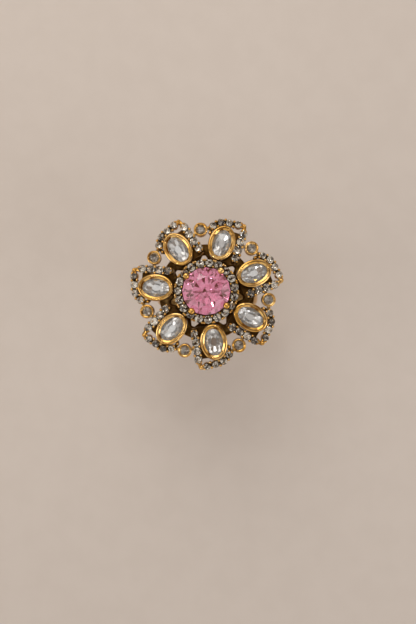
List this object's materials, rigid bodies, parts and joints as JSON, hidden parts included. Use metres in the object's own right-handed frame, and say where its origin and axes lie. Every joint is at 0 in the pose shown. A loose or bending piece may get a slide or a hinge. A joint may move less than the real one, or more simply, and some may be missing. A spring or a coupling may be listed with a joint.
{
  "type": "cocktail ring",
  "caption": "Gold-toned cocktail ring: a pinwheel flower of oval bezel-set crystals and pavé leaves round a raised pink stone, on a plain tapered shank.",
  "frame": {"origin": "centre of the finger hole", "axes": "+Y along the finger hole's axis, +Z from the finger out through the flower's face, +X across the hand"},
  "size_m": [0.0324, 0.032, 0.0283],
  "materials": {
    "gold": "polished yellow gold plate with darkened recesses",
    "pink_stone": "polished faceted pink stone",
    "crystal": "polished faceted clear crystal"
  },
  "bodies": {
    "root": {"shank": "gold", "gallery_frame": "gold", "centre_basket": "gold", "centre_stone": "pink_stone", "halo_rail": "gold", "halo_stone_01": "crystal", "halo_stone_02": "crystal", "halo_stone_03": "crystal", "halo_stone_04": "crystal", "halo_stone_05": "crystal", "halo_stone_06": "crystal", "halo_stone_07": "crystal", "halo_stone_08": "crystal", "halo_stone_09": "crystal", "halo_stone_10": "crystal", "halo_stone_11": "crystal", "halo_stone_12": "crystal", "halo_stone_13": "crystal", "halo_stone_14": "crystal", "halo_stone_15": "crystal", "halo_stone_16": "crystal", "halo_stone_17": "crystal", "halo_stone_18": "crystal", "halo_stone_19": "crystal", "petal_bezel_1": "gold", "petal_stone_1": "crystal", "pave_leaf_1": "gold", "accent_bezel_1": "gold", "accent_stone_1": "crystal", "petal_bezel_2": "gold", "petal_stone_2": "crystal", "pave_leaf_2": "gold", "accent_bezel_2": "gold", "accent_stone_2": "crystal", "petal_bezel_3": "gold", "petal_stone_3": "crystal", "pave_leaf_3": "gold", "accent_bezel_3": "gold", "accent_stone_3": "crystal", "petal_bezel_4": "gold", "petal_stone_4": "crystal", "pave_leaf_4": "gold", "accent_bezel_4": "gold", "accent_stone_4": "crystal", "petal_bezel_5": "gold", "petal_stone_5": "crystal", "pave_leaf_5": "gold", "accent_bezel_5": "gold", "accent_stone_5": "crystal", "petal_bezel_6": "gold", "petal_stone_6": "crystal", "pave_leaf_6": "gold", "accent_bezel_6": "gold", "accent_stone_6": "crystal", "petal_bezel_7": "gold", "petal_stone_7": "crystal", "pave_leaf_7": "gold", "accent_bezel_7": "gold", "accent_stone_7": "crystal"}
  },
  "joints": []
}
